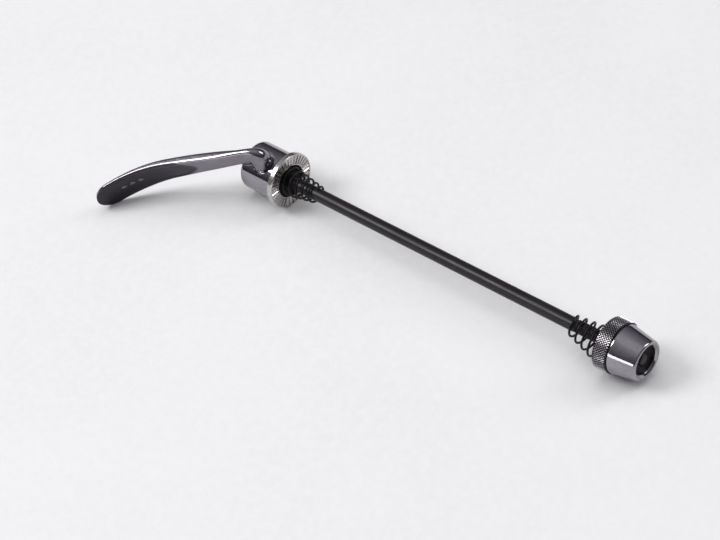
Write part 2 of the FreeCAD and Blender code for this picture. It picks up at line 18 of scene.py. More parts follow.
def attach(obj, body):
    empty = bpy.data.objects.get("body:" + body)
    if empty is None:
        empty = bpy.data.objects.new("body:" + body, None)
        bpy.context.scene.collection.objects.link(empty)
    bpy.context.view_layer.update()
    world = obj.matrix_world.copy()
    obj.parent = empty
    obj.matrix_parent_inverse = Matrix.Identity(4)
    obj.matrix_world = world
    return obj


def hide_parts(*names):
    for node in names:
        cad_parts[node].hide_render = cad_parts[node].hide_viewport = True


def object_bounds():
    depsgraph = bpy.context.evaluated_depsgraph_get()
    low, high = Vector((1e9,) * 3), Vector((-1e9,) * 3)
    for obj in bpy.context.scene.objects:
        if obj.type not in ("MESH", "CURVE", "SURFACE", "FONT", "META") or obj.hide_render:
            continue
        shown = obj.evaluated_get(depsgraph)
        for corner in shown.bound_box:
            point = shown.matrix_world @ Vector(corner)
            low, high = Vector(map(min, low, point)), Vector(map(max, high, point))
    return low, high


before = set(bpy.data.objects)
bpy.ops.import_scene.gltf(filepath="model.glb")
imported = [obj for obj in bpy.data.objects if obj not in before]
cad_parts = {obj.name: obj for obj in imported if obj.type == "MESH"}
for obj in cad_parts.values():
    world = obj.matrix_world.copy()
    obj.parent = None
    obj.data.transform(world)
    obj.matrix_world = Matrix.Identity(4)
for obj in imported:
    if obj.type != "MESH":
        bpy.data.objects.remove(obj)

CAD_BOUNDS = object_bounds()
MM = 0.001
# The cam axis: its lean from Z about Y, and where it crosses the rod's axis.
CAM_TILT = math.radians(24)
PIVOT_Y = 8.7
# The nut's clamping face, along Y.
NUT_FACE_Y = -147.3
# Points closer than this, in metres, are one point.
MERGE_DISTANCE = 1e-6
# Powers of a round section and of one that is a little fuller.
CIRCLE_POWER = 2.0
ROUND_POWER = 2.6
# Edges steeper than these angles, in degrees, shade as sharp.
TURNED_EDGE = 32.0
COIL_EDGE = 60.0
log = logging.getLogger("skewer")

Section = list[tuple[float, float]]


def linear(code: str) -> tuple[float, float, float, float]:
    """Turn an sRGB hex colour into the linear colour that shaders work in.

    Args:
        code: Six hex digits with or without a leading #.

    Returns:
        Linear red, green, blue and an alpha of 1.
    """
    digits = code.lstrip("#")
    parts = [int(digits[index:index + 2], 16) / 255 for index in (0, 2, 4)]
    bright = [part / 12.92 if part <= 0.04045 else ((part + 0.055) / 1.055) ** 2.4 for part in parts]
    return (bright[0], bright[1], bright[2], 1.0)


def add_node(tree: bpy.types.NodeTree, kind: str, values: dict[str | int, object] | None = None,
             links: dict[str | int, bpy.types.NodeSocket] | None = None,
             **settings: object) -> bpy.types.Node:
    """Add one node with its settings, socket values and incoming links.

    Args:
        tree: The node tree that gets the node.
        kind: The node's type name.
        values: Input socket (name or index) to its value.
        links: Input socket (name or index) to the output socket that feeds it.
        settings: Properties of the node itself.

    Returns:
        The new node.
    """
    node = tree.nodes.new(kind)
    for name, setting in settings.items():
        setattr(node, name, setting)
    for socket, value in (values or {}).items():
        node.inputs[socket].default_value = value
    for socket, source in (links or {}).items():
        tree.links.new(source, node.inputs[socket])
    return node


def smooth(value: float) -> float:
    """Ease from 0 to 1 as value goes from 0 to 1, flat outside."""
    value = min(max(value, 0.0), 1.0)
    return value * value * (3 - 2 * value)


class Marks(Enum):
    """How a finish's fine marks are stretched along X, Y and Z. Y is the skewer's length."""

    GRAIN = (1.0, 1.0, 1.0)
    DRAWN = (1.0, 0.04, 1.0)
    BUFFED = (1.0, 0.22, 0.7)


# Shares of the mixed noise between which the second colour comes in, and of the fine noise between which
# the roughness moves.
BLEND_RANGE = (0.12, 0.42)
NOISE_RANGE = (0.3, 0.7)
BUMP_STRENGTH = 0.6


@dataclass(frozen=True)
class Finish:
    """One surface finish: what it is made of, the marks its making leaves and, in some, painted shade or a
    painted reflection.

    Attributes:
        name: The material's name: what it is and how its surface was made.
        colour, shade: sRGB colours, mixed by the marks and the cloudy patches.
        metallic: 1 for bare metal, 0 for plastic, paint and rubber.
        roughness, spread: Middle roughness, and how far the marks move it either way.
        marks, mark_mm: How the marks are stretched, and their spacing.
        cloud_mm: Size of the soft patches, such as handling haze.
        bump_mm: Height of the marks.
        coat, coat_roughness: Weight and roughness of a clear coat, for lacquer.
        dull_and_painted_reflection, dull_roughness: Colour of a painted dark reflection, or nothing, and the
        duller roughness where the "dull_and_painted_reflection" attribute is 1.
        shine: Strength of the clear reflection that isn't the metal's own.
        painted_valley_shade: Colour of painted shade in the valleys between teeth, or nothing.
        painted_valley_shade_radii: Millimetres from the rod's axis at which that painted shade ends and is
            full.
    """

    name: str
    colour: str
    shade: str
    metallic: float
    roughness: float
    spread: float
    marks: Marks
    mark_mm: float
    cloud_mm: float = 7.0
    bump_mm: float = 0.004
    coat: float = 0.0
    coat_roughness: float = 0.12
    dull_and_painted_reflection: str = ""
    dull_roughness: float = 0.2
    shine: float = 0.5
    painted_valley_shade: str = ""
    painted_valley_shade_radii: tuple[float, float] = (0.0, 0.0)

    def material(self) -> bpy.types.Material:
        """Build the material, or give the one built before.

        Returns:
            The material with its nodes.
        """
        made = bpy.data.materials.get(self.name)
        if made:
            return made
        made = bpy.data.materials.new(self.name)
        made.use_nodes = True
        tree = made.node_tree
        shader = tree.nodes["Principled BSDF"]
        for socket, value in (("Metallic", self.metallic), ("Specular IOR Level", self.shine),
                              ("Coat Weight", self.coat), ("Coat Roughness", self.coat_roughness)):
            shader.inputs[socket].default_value = value
        place = add_node(tree, "ShaderNodeTexCoord")
        stretched = add_node(tree, "ShaderNodeMapping", {"Scale": self.marks.value},
                             {"Vector": place.outputs["Object"]})
        fine, cloud = (
            add_node(tree, "ShaderNodeTexNoise",
                     {"Scale": 1 / (size * MM), "Detail": detail, "Roughness": rough},
                     {"Vector": vector}).outputs["Fac"]
            for size, detail, rough, vector in ((self.mark_mm, 3.0, 0.6, stretched.outputs[0]),
                                                (self.cloud_mm, 2.0, 0.5, place.outputs["Object"])))
        both = add_node(tree, "ShaderNodeMath", links={0: fine, 1: cloud}, operation="MULTIPLY")
        low, high = BLEND_RANGE
        share = add_node(tree, "ShaderNodeMapRange", {"From Min": low, "From Max": high},
                         {"Value": both.outputs[0]})
        tint = add_node(tree, "ShaderNodeMix", {"A": linear(self.colour), "B": linear(self.shade)},
                        {"Factor": share.outputs[0]}, data_type="RGBA").outputs["Result"]
        low, high = NOISE_RANGE
        rough = add_node(tree, "ShaderNodeMapRange",
                         {"From Min": low, "From Max": high, "To Min": self.roughness - self.spread,
                          "To Max": self.roughness + self.spread}, {"Value": fine}).outputs[0]
        # Painted dark reflection: where the mask is 1 the colour turns near black, standing in for the room's
        # dark reflection; the roughness there is a real, duller polish.
        if self.dull_and_painted_reflection:
            where = add_node(tree, "ShaderNodeAttribute", attribute_name="dull_and_painted_reflection")
            tint = add_node(tree, "ShaderNodeMix", {"B": linear(self.dull_and_painted_reflection)},
                            {"Factor": where.outputs["Fac"], "A": tint}, data_type="RGBA").outputs["Result"]
            rough = add_node(tree, "ShaderNodeMix", {"B": self.dull_roughness},
                             {"Factor": where.outputs["Fac"], "A": rough}, data_type="FLOAT").outputs[0]
        # Painted shade: the colour darkens towards the rod's axis, between the given radii, to stand in for
        # shade in the knurl's valleys.
        if self.painted_valley_shade:
            end, full = (radius * MM for radius in self.painted_valley_shade_radii)
            flat = add_node(tree, "ShaderNodeVectorMath", {1: (1.0, 0.0, 1.0)}, {0: place.outputs["Object"]},
                            operation="MULTIPLY")
            away = add_node(tree, "ShaderNodeVectorMath", links={0: flat.outputs[0]}, operation="LENGTH")
            deep = add_node(tree, "ShaderNodeMapRange", {"From Min": end, "From Max": full},
                            {"Value": away.outputs["Value"]})
            tint = add_node(tree, "ShaderNodeMix", {"B": linear(self.painted_valley_shade)},
                            {"Factor": deep.outputs[0], "A": tint}, data_type="RGBA").outputs["Result"]
        bump = add_node(tree, "ShaderNodeBump", {"Strength": BUMP_STRENGTH, "Distance": self.bump_mm * MM},
                        {"Height": fine})
        tree.links.new(tint, shader.inputs["Base Color"])
        tree.links.new(rough, shader.inputs["Roughness"])
        tree.links.new(bump.outputs[0], shader.inputs["Normal"])
        return made


# Chrome plate over steel, buffed: a mirror with faint haze from handling.
POLISHED_CHROME = Finish("chrome_plate_polished", "#a19ea4", "#8d8a90", 1.0, 0.10, 0.03,
                         Marks.BUFFED, 0.9, bump_mm=0.0015)
# Chrome plate over a forging, buffed by hand: darker, and a little duller on the blade's inner face, where a
# near-black painted dark reflection is laid over it.
FORGED_CHROME = Finish("chrome_plate_over_forged_steel", "#8a868d", "#79757c", 1.0, 0.15, 0.04,
                       Marks.BUFFED, 1.2, bump_mm=0.002, dull_and_painted_reflection="#3d3940", dull_roughness=0.24)
# Zinc plate over cut teeth: bright, a little milky.
CUT_STEEL = Finish("zinc_plated_steel_cut_teeth", "#c9c6c4", "#a8a4a1", 1.0, 0.24, 0.06,
                   Marks.GRAIN, 0.35)
# Zinc plate over a rolled knurl: many small bright facets, with painted shade in the dark valleys between
# them.
KNURLED_STEEL = Finish("zinc_plated_steel_knurled", "#c6c3c7", "#a19da1", 1.0, 0.22, 0.06,
                       Marks.GRAIN, 0.4, painted_valley_shade="#2b282d", painted_valley_shade_radii=(9.74, 9.52))
# Ground and hardened steel: even, light grey and satin.
HARD_STEEL = Finish("hardened_steel_ground", "#a9a9ad", "#8b8b90", 1.0, 0.26, 0.06, Marks.GRAIN, 0.3)
# Black oxide over drawn steel: nearly black, satin, with faint lengthwise lines.
BLACKED_STEEL = Finish("black_oxide_drawn_steel", "#272328", "#1c191d", 0.55, 0.38, 0.06,
                       Marks.DRAWN, 0.5, cloud_mm=16.0)
# Chrome plate left dull, as on small raised marks: a soft grey that stands off the hollow's painted dark
# reflection.
DULLED_CHROME = Finish("chrome_plate_dulled", "#77727a", "#655f68", 1.0, 0.30, 0.05, Marks.GRAIN, 0.4)
# Black lacquer on spring wire: nearly black, with a faint thin sheen.
LACQUERED_WIRE = Finish("black_lacquered_spring_wire", "#08070a", "#100e12", 0.0, 0.42, 0.08,
                        Marks.GRAIN, 0.5, coat=0.05, shine=0.2)
# Moulded black nylon: deep black and matt, with a fine skin.
BLACK_NYLON = Finish("black_nylon_moulded", "#070607", "#0b0a0c", 0.0, 0.6, 0.08, Marks.GRAIN, 0.35,
                     bump_mm=0.01, shine=0.2)
# Bearing brass, turned: warm yellow and satin.
TURNED_BRASS = Finish("bearing_brass_turned", "#c9a45c", "#a98343", 1.0, 0.3, 0.06, Marks.GRAIN, 0.3)
# Nitrile rubber, moulded: dull dark grey.
NITRILE = Finish("nitrile_rubber_moulded", "#1d1c1d", "#262526", 0.0, 0.68, 0.06, Marks.GRAIN, 0.3)
# Matt white board: pale and even, with barely seen clouds.
BOARD = Finish("white_board_matt", "#cfcfd0", "#cacacb", 0.0, 0.75, 0.05, Marks.GRAIN, 3.0,
               cloud_mm=90.0, bump_mm=0.0)


def new_piece(name: str, points: Sequence[Sequence[float]], faces: Sequence[tuple[int, ...]],
              finish: Finish) -> bpy.types.Object:
    """Make a smooth-shaded mesh object at the origin.

    Args:
        name: The piece's name.
        points: Places in metres.
        faces: Corner indices of each face.
        finish: Its finish.

    Returns:
        The object, linked to the scene.
    """
    mesh = bpy.data.meshes.new(name)
    mesh.from_pydata([tuple(point) for point in points], [], faces)
    work = bmesh.new()
    work.from_mesh(mesh)
    bmesh.ops.remove_doubles(work, verts=work.verts, dist=MERGE_DISTANCE)
    bmesh.ops.recalc_face_normals(work, faces=work.faces)
    work.to_mesh(mesh)
    work.free()
    mesh.materials.append(finish.material())
    mesh.shade_smooth()
    piece = bpy.data.objects.new(name, mesh)
    bpy.context.scene.collection.objects.link(piece)
    return piece


def sharpen(piece: bpy.types.Object, degrees: float) -> None:
    """Mark edges steeper than an angle as sharp, so flats and rounds shade apart.

    Args:
        piece: The mesh object.
        degrees: The angle between faces from which an edge is sharp.
    """
    piece.data.set_sharp_from_angle(angle=math.radians(degrees))


def rounded(corners: list[tuple[float, float, float]], steps: int = 5) -> Section:
    """Round the corners of a section.

    Args:
        corners: Distance from the axis, place along it, and how far before the corner its round starts.
        steps: Points on each round.

    Returns:
        The section's points. The first and last corners stay as they are.
    """
    points: Section = []
    for index, (across, along, size) in enumerate(corners):
        if size <= 0 or index in (0, len(corners) - 1):
            points.append((across, along))
            continue
        here = Vector((across, along))
        before = Vector(corners[index - 1][:2]) - here
        after = Vector(corners[index + 1][:2]) - here
        start = here + before.normalized() * size
        end = here + after.normalized() * size
        for step in range(steps + 1):
            share = step / steps
            spot = start * (1 - share) ** 2 + here * 2 * share * (1 - share) + end * share ** 2
            points.append((spot.x, spot.y))
    return points


def lathe(name: str, section: Section, finish: Finish, closed: bool = False,
          segments: int = 144) -> bpy.types.Object:
    """Turn a section about the rod's axis.

    Args:
        name: The piece's name.
        section: Distance from the axis and place along Y, in millimetres.
        finish: Its finish.
        closed: Whether the section is a loop that joins its end to its start.
        segments: Facets round the axis.

    Returns:
        The turned piece.
    """
    points = [Vector((across * math.sin(turn), along, across * math.cos(turn))) * MM
              for turn in (2 * math.pi * index / segments for index in range(segments))
              for across, along in section]
    count = len(section)
    faces = []
    for ring in range(segments):
        here, there = ring * count, (ring + 1) % segments * count
        for step in range(count if closed else count - 1):
            following = (step + 1) % count
            faces.append((here + step, here + following, there + following, there + step))
    piece = new_piece(name, points, faces, finish)
    sharpen(piece, TURNED_EDGE)
    return piece


@dataclass
class Recipe:
    """A Geometry Nodes tree with named sizes, run once to give a plain mesh.

    Attributes:
        name: The tree's name.
        sizes: Named inputs and their values: an int gives a whole-number input. Lengths are in metres.
    """

    name: str
    sizes: dict[str, float]

    def __post_init__(self) -> None:
        """Open the tree with its inputs and output."""
        self.tree = bpy.data.node_groups.new(self.name, "GeometryNodeTree")
        face = self.tree.interface
        for label, value in self.sizes.items():
            kind = "NodeSocketInt" if isinstance(value, int) else "NodeSocketFloat"
            face.new_socket(label, in_out="INPUT", socket_type=kind)
        face.new_socket("Finish", in_out="INPUT", socket_type="NodeSocketMaterial")
        face.new_socket("Geometry", in_out="OUTPUT", socket_type="NodeSocketGeometry")
        self.given = add_node(self.tree, "NodeGroupInput")

    def add(self, kind: str, values: dict[str | int, object] | None = None,
            links: dict[str | int, bpy.types.NodeSocket] | None = None,
            **settings: object) -> bpy.types.Node:
        """Add a node to the tree, as add_node does."""
        return add_node(self.tree, kind, values, links, **settings)

    def size(self, label: str) -> bpy.types.NodeSocket:
        """Give the output socket that carries a named size."""
        return self.given.outputs[label]

    def sum(self, operation: str, first: float | bpy.types.NodeSocket,
            second: float | bpy.types.NodeSocket = 0.0) -> bpy.types.NodeSocket:
        """Join two numbers or sockets with a Math node.

        Args:
            operation: The Math node's operation.
            first: A number or an output socket.
            second: A number or an output socket, where the operation takes two.

        Returns:
            The result's socket.
        """
        node = self.add("ShaderNodeMath", operation=operation)
        for index, term in enumerate((first, second)):
            if isinstance(term, bpy.types.NodeSocket):
                self.tree.links.new(term, node.inputs[index])
            else:
                node.inputs[index].default_value = term
        return node.outputs[0]

    def close(self, geometry: bpy.types.NodeSocket) -> None:
        """End the tree in Realize Instances and Set Material.

        Args:
            geometry: The finished geometry.
        """
        real = self.add("GeometryNodeRealizeInstances", links={"Geometry": geometry})
        dressed = self.add("GeometryNodeSetMaterial",
                           links={"Geometry": real.outputs[0], "Material": self.given.outputs["Finish"]})
        self.add("NodeGroupOutput", links={"Geometry": dressed.outputs[0]})

    def run(self, name: str, finish: Finish, place: Matrix) -> bpy.types.Object:
        """Evaluate the tree once and keep its result as a plain mesh.

        Args:
            name: The piece's name.
            finish: Its finish.
            place: Where the result goes, applied to its mesh.

        Returns:
            The piece, at the origin.
        """
        holder = bpy.data.objects.new(name + "_maker", bpy.data.meshes.new(name + "_seed"))
        bpy.context.scene.collection.objects.link(holder)
        modifier = holder.modifiers.new(self.name, "NODES")
        modifier.node_group = self.tree
        sockets = {item.name: item.identifier for item in self.tree.interface.items_tree
                   if item.in_out == "INPUT"}
        for label, value in self.sizes.items():
            modifier[sockets[label]] = value
        modifier[sockets["Finish"]] = finish.material()
        graph = bpy.context.evaluated_depsgraph_get()
        mesh = bpy.data.meshes.new_from_object(holder.evaluated_get(graph))
        mesh.name = name
        mesh.transform(place)
        mesh.materials.clear()
        mesh.materials.append(finish.material())
        mesh.polygons.foreach_set("material_index", [0] * len(mesh.polygons))
        holder.modifiers.remove(modifier)
        bpy.data.objects.remove(holder)
        piece = bpy.data.objects.new(name, mesh)
        bpy.context.scene.collection.objects.link(piece)
        return piece


@dataclass(frozen=True)
class Coil:
    """A wire wound on a cone, such as a conical spring or a thread's ridge.

    Attributes:
        wide, narrow: Coil radius at the start and at the end.
        length, turns: Between the wire's two ends along the axis, and how many turns that takes.
        wire, sides: Radius and corners of the wire's section.
        left_hand: Whether it winds the left-hand way.
        per_turn: Points along each turn.
    """

    wide: float
    narrow: float
    length: float
    turns: float
    wire: float
    sides: int = 14
    left_hand: bool = True
    per_turn: int = 44

    def build(self, name: str, finish: Finish, place: Matrix) -> bpy.types.Object:
        """Wind the coil.

        Args:
            name: The piece's name.
            finish: Its finish.
            place: From the coil's own frame, axis along Z, to the CAD's frame.

        Returns:
            The coil as a plain mesh.
        """
        recipe = Recipe(name + "_winding", {
            "Wide radius": self.wide * MM, "Narrow radius": self.narrow * MM,
            "Length": self.length * MM, "Turns": self.turns, "Wire radius": self.wire * MM,
            "Sides": self.sides, "Per turn": self.per_turn})
        path = recipe.add("GeometryNodeCurveSpiral", links={
            "Resolution": recipe.size("Per turn"), "Rotations": recipe.size("Turns"),
            "Start Radius": recipe.size("Wide radius"), "End Radius": recipe.size("Narrow radius"),
            "Height": recipe.size("Length")})
        path.inputs["Reverse"].default_value = self.left_hand
        ring = recipe.add("GeometryNodeCurvePrimitiveCircle", links={
            "Resolution": recipe.size("Sides"), "Radius": recipe.size("Wire radius")})
        wire = recipe.add("GeometryNodeCurveToMesh", {"Fill Caps": True}, {
            "Curve": path.outputs[0], "Profile Curve": ring.outputs[0]})
        soft = recipe.add("GeometryNodeSetShadeSmooth", links={"Geometry": wire.outputs[0]})
        recipe.close(soft.outputs[0])
        piece = recipe.run(name, finish, place)
        sharpen(piece, COIL_EDGE)
        return piece


@dataclass
class Knurl:
    """A diamond knurl: small flat-topped pyramids in staggered rows round an axis.

    Attributes:
        radius, height: Radius of the pyramids' feet, and their height.
        around, rows: Pyramids in a row, and rows.
        start, pitch: Where the first row lies along the axis, and the distance between rows.
        top: Half width of a pyramid's flat top.
    """

    radius: float
    height: float
    around: int
    rows: int
    start: float
    pitch: float
    top: float = 0.1

    def build(self, name: str, finish: Finish) -> bpy.types.Object:
        """Roll the knurl about Y.

        Args:
            name: The piece's name.
            finish: Its finish.

        Returns:
            The knurl as a plain mesh.
        """
        half = math.pi * self.radius / self.around
        recipe = Recipe(name + "_rolling", {
            "Radius": self.radius * MM, "Height": self.height * MM, "Around": self.around, "Rows": self.rows,
            "Start": self.start * MM, "Pitch": self.pitch * MM, "Half width": half * MM, "Top": self.top * MM,
            "Stretch": self.pitch / half})
        count = recipe.sum("MULTIPLY", recipe.size("Around"), recipe.size("Rows"))
        index = recipe.add("GeometryNodeInputIndex").outputs[0]
        row = recipe.sum("FLOOR", recipe.sum("DIVIDE", index, recipe.size("Around")))
        step = recipe.sum("MODULO", index, recipe.size("Around"))
        stagger = recipe.sum("MULTIPLY", recipe.sum("MODULO", row, 2.0), 0.5)
        share = recipe.sum("DIVIDE", recipe.sum("ADD", step, stagger), recipe.size("Around"))
        angle = recipe.sum("MULTIPLY", share, 2 * math.pi)
        place = recipe.add("ShaderNodeCombineXYZ", links={
            "X": recipe.sum("MULTIPLY", recipe.sum("SINE", angle), recipe.size("Radius")),
            "Y": recipe.sum("ADD", recipe.size("Start"), recipe.sum("MULTIPLY", row, recipe.size("Pitch"))),
            "Z": recipe.sum("MULTIPLY", recipe.sum("COSINE", angle), recipe.size("Radius"))})
        dots = recipe.add("GeometryNodePoints", links={"Count": count, "Position": place.outputs[0]})
        pyramid = recipe.add("GeometryNodeMeshCone", {"Vertices": 4}, {
            "Radius Top": recipe.size("Top"), "Radius Bottom": recipe.size("Half width"),
            "Depth": recipe.size("Height")})
        turn = recipe.add("ShaderNodeCombineXYZ", links={"Y": angle})
        stretch = recipe.add("ShaderNodeCombineXYZ", {"X": 1.0, "Z": 1.0}, {"Y": recipe.size("Stretch")})
        placed = recipe.add("GeometryNodeInstanceOnPoints", links={
            "Points": dots.outputs[0], "Instance": pyramid.outputs[0], "Rotation": turn.outputs[0],
            "Scale": stretch.outputs[0]})
        recipe.close(placed.outputs[0])
        return recipe.run(name, finish, Matrix.Identity(4))


def dress(node: str, finish: Finish) -> None:
    """Give a CAD node its finish.

    Args:
        node: The node's name.
        finish: The finish for all its slots.
    """
    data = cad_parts[node].data
    data.materials.clear()
    data.materials.append(finish.material())
    log.info("dressed %s as %s", node, finish.name)


def settle(piece: bpy.types.Object, body: str, slot: str, *nodes: str) -> None:
    """Make a piece ride on its body and hide the CAD nodes that it stands for.

    Args:
        piece: The finished piece.
        body: The CAD body that it moves with.
        slot: A material slot's name; not used.
        nodes: CAD nodes that it replaces.
    """
    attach(piece, body)
    if nodes:
        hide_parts(*nodes)
    log.info("%s rides on %s, %d faces", piece.name, body, len(piece.data.polygons))


@dataclass
class CamHousing:
    """Chromed cup with its serrated ring, nylon guide, bushes and seal."""

    finishes: tuple[tuple[str, Finish], ...] = (
        ("cam_housing", POLISHED_CHROME), ("clamp_ring", CUT_STEEL), ("rod_guide", BLACK_NYLON),
        ("lever_bush", BLACK_NYLON), ("end_bush", TURNED_BRASS), ("thrust_washer", HARD_STEEL),
        ("end_cap", BLACK_NYLON), ("shaft_seal", NITRILE), ("seal_collar", POLISHED_CHROME))

    def build(self) -> None:
        """Dress the housing's nodes."""
        for node, finish in self.finishes:
            dress(node, finish)


@dataclass
class Lever:
    """Forged lever: round root, elbow, straight arm and a thin blade that curls in.

    Places on it are given by s, the distance along its inner face from abreast of the cam axis, u from -1 on
    the side nearest the rod to 1 on the outer side, and v from -1 on the inner face to 1 on the outer one.
    Heights are along the cam axis, from the rod's axis.

    Attributes:
        root_radius, root_start: The round root, and the height at which it leaves the housing.
        elbow_start, elbow_radius: Where the elbow begins, and its middle line's radius.
        elbow_power: How full the elbow's outer corner is: 2 is round.
        offset: From the cam axis to the arm's inner face, abreast of it.
        arm_angle: The straight arm's angle from +Y, in degrees.
        straight, bend: The s at which the arm starts to curl, and the curl's radius.
        thick, thin_from, tip_thick: The arm's thickness, the s near which it thins, and the tip's.
        blade_angle, reach: An angle in degrees, and how far from the cam axis the tip is at it.
        arm_low, arm_high: Heights of the arm's edges at the elbow.
        blade_low, blade_high: Heights of the blade's edges.
        widen_from, widen_to: Reach at which the arm starts and ends widening.
        hollow_from, hollow_lag: The s at which the hollow starts, and how much later at its sides.
        hollow_depth: Depth of the hollow.
        flat_power: How square the arm's section gets: 2 is round.
        wide_points, thin_points: Points across each face and each edge of a section.
        elbow_rings, arm_rings, tip_rings: Sections along the elbow, the arm and the round tip.
        tip_length: Length of the round tip's part.
        mark_places: The s of each raised mark.
        mark_half, mark_height: Half length and half width of a mark, and its height.
        mark_steps: Faces along and across a mark.
    """

    root_radius: float = 3.8
    root_start: float = 8.32
    elbow_start: float = 9.85
    elbow_radius: float = 4.3
    elbow_power: float = 3.0
    offset: float = 1.19
    arm_angle: float = 31.2
    straight: float = 35.65
    bend: float = 56.2
    thick: float = 3.6
    thin_from: float = 30.5
    tip_thick: float = 1.2
    blade_angle: float = 39.8
    reach: float = 67.5
    arm_low: float = 9.95
    arm_high: float = 18.25
    blade_low: float = 5.1
    blade_high: float = 18.6
    widen_from: float = 8.0
    widen_to: float = 56.0
    hollow_from: float = 24.0
    hollow_lag: float = 7.5
    hollow_depth: float = 0.42
    flat_power: float = 6.6
    wide_points: int = 18
    thin_points: int = 8
    elbow_rings: int = 12
    arm_rings: int = 70
    tip_rings: int = 22
    tip_length: float = 7.0
    mark_places: tuple[float, ...] = (49.0, 52.6, 56.2)
    mark_half: tuple[float, float] = (1.4, 1.0)
    mark_height: float = 0.16
    mark_steps: int = 12

    def direction(self, s: float) -> float:
        """Direction of the inner face at s, from +Y towards the lever's side, in radians."""
        return math.radians(self.arm_angle) + max(s - self.straight, 0.0) / self.bend

    def inner(self, s: float) -> Vector:
        """Find the inner face at s.

        Args:
            s: Distance along it.

        Returns:
            Its place along Y from the cam axis, and its place to the lever's side.
        """
        angle = math.radians(self.arm_angle)
        run = min(s, self.straight)
        spot = Vector((run * math.cos(angle), self.offset + run * math.sin(angle)))
        if s > self.straight:
            end = self.direction(s)
            spot += self.bend * Vector((math.sin(end) - math.sin(angle), math.cos(angle) - math.cos(end)))
        return spot

    def along_blade(self, s: float) -> float:
        """How far s is from the cam axis, measured towards the tip."""
        angle = math.radians(self.blade_angle)
        return self.inner(s).dot(Vector((math.cos(angle), math.sin(angle))))

    def end_of_blade(self) -> float:
        """Find the s at which the blade's round tip ends.

        Returns:
            That s.
        """
        low, high = self.straight, self.straight + self.bend
        for _ in range(40):
            middle = (low + high) / 2
            low, high = (middle, high) if self.along_blade(middle) < self.reach else (low, middle)
        return low

    def half_sizes(self, s: float) -> tuple[float, float, float]:
        """Size the arm at s.

        Args:
            s: Distance along the inner face.

        Returns:
            Middle height, half width and half thickness.
        """
        far = self.along_blade(s)
        share = smooth((far - self.widen_from) / (self.widen_to - self.widen_from))
        low = self.arm_low + (self.blade_low - self.arm_low) * share
        high = self.arm_high + (self.blade_high - self.arm_high) * share
        half = (high - low) / 2
        centre = self.reach - half
        if far > centre:
            half = math.sqrt(max(half ** 2 - (far - centre) ** 2, 0.0))
        thin = smooth((s - self.thin_from + 8) / (self.end_of_blade() - self.thin_from + 8))
        return (low + high) / 2, half, (self.thick + (self.tip_thick - self.thick) * thin) / 2

    def to_frame(self, along: float, aside: float, height: float) -> Vector:
        """Carry a place from the lever's own frame to the CAD's.

        Args:
            along: Distance from the cam axis along Y.
            aside: Distance to the lever's side.
            height: Height along the cam axis.

        Returns:
            The place in metres.
        """
        turned = Matrix.Rotation(-CAM_TILT, 3, "Y") @ Vector((-aside, along, height))
        return (turned + Vector((0, PIVOT_Y, 0))) * MM

    def hollow(self, s: float, u: float) -> float:
        """Find the share of the blade's hollow.

        Args:
            s: Distance along the inner face.
            u: Place across it.

        Returns:
            0 outside the hollow and 1 on its floor.
        """
        start = self.hollow_from + self.hollow_lag * u * u
        rim = smooth((0.86 - abs(u)) / 0.16)
        end = smooth((self.end_of_blade() - 3.0 - s) / 2.5)
        return smooth((s - start) / 3.0) * rim * end

    def painted_reflection_share(self, s: float, u: float) -> float:
        """Share of the duller polish and the painted dark reflection at s and u on the inner face: it reaches
        the tip.
        """
        return smooth((s - self.hollow_from - self.hollow_lag * u * u) / 1.6)

    def outline(self, power: float) -> Section:
        """Points round a section, both ways from -1 to 1: a circle at power 2, squarer above it.

        Args:
            power: The superellipse's power.

        Returns:
            Points (u, v), evenly spread on the flats.
        """
        square: Section = []
        wide, thin = self.wide_points, self.thin_points
        for count, start, step in ((wide, (-1, -1), (1, 0)), (thin, (1, -1), (0, 1)),
                                   (wide, (1, 1), (-1, 0)), (thin, (-1, 1), (0, -1))):
            for index in range(count):
                run = 2 * index / count
                square.append((start[0] + step[0] * run, start[1] + step[1] * run))
        shrink = [(abs(u) ** power + abs(v) ** power) ** (-1 / power) for u, v in square]
        return [(u * size, v * size) for (u, v), size in zip(square, shrink)]

    def rings(self) -> tuple[list[list[Vector]], list[list[float]]]:
        """Sections from the root to the tip.

        Returns:
            Each section's points in metres, and each point's share of the duller polish and the painted dark
            reflection.
        """
        rings: list[list[Vector]] = []
        shares: list[list[float]] = []
        angle = math.radians(self.arm_angle)
        ahead = Vector((math.cos(angle), math.sin(angle)))
        aside = Vector((math.sin(angle), -math.cos(angle)))
        foot = -self.offset * math.sin(angle)
        _, half, thin = self.half_sizes(self.elbow_radius)
        for height in (self.root_start, self.elbow_start):
            rings.append([self.to_frame(*((aside * v - ahead * u) * self.root_radius), height)
                          for u, v in self.outline(CIRCLE_POWER)])
            shares.append([0.0] * len(rings[-1]))
        for index in range(1, self.elbow_rings + 1):
            turn = math.pi / 2 * index / self.elbow_rings
            blend = smooth(index / self.elbow_rings)
            run = self.elbow_radius * (1 - math.cos(turn))
            centre = ahead * run * (1 - blend) + (self.inner(foot + run) + aside * thin) * blend
            wide = self.root_radius + (half - self.root_radius) * blend
            deep = self.root_radius + (thin - self.root_radius) * blend
            lift = self.elbow_start + self.elbow_radius * math.sin(turn)
            power = self.elbow_power
            fuller = (math.cos(turn) ** power + math.sin(turn) ** power) ** (-1 / power) - 1
            ring = []
            for u, v in self.outline(CIRCLE_POWER + (ROUND_POWER - CIRCLE_POWER) * blend):
                reach = u * wide + fuller * (self.elbow_radius + wide) * smooth((u + 1) / 2)
                spot = centre + aside * v * deep - ahead * reach * math.cos(turn)
                ring.append(self.to_frame(spot.x, spot.y, lift + reach * math.sin(turn)))
            rings.append(ring)
            shares.append([0.0] * len(ring))
        start = foot + self.elbow_radius
        end = self.end_of_blade()
        tip_start = end - self.tip_length
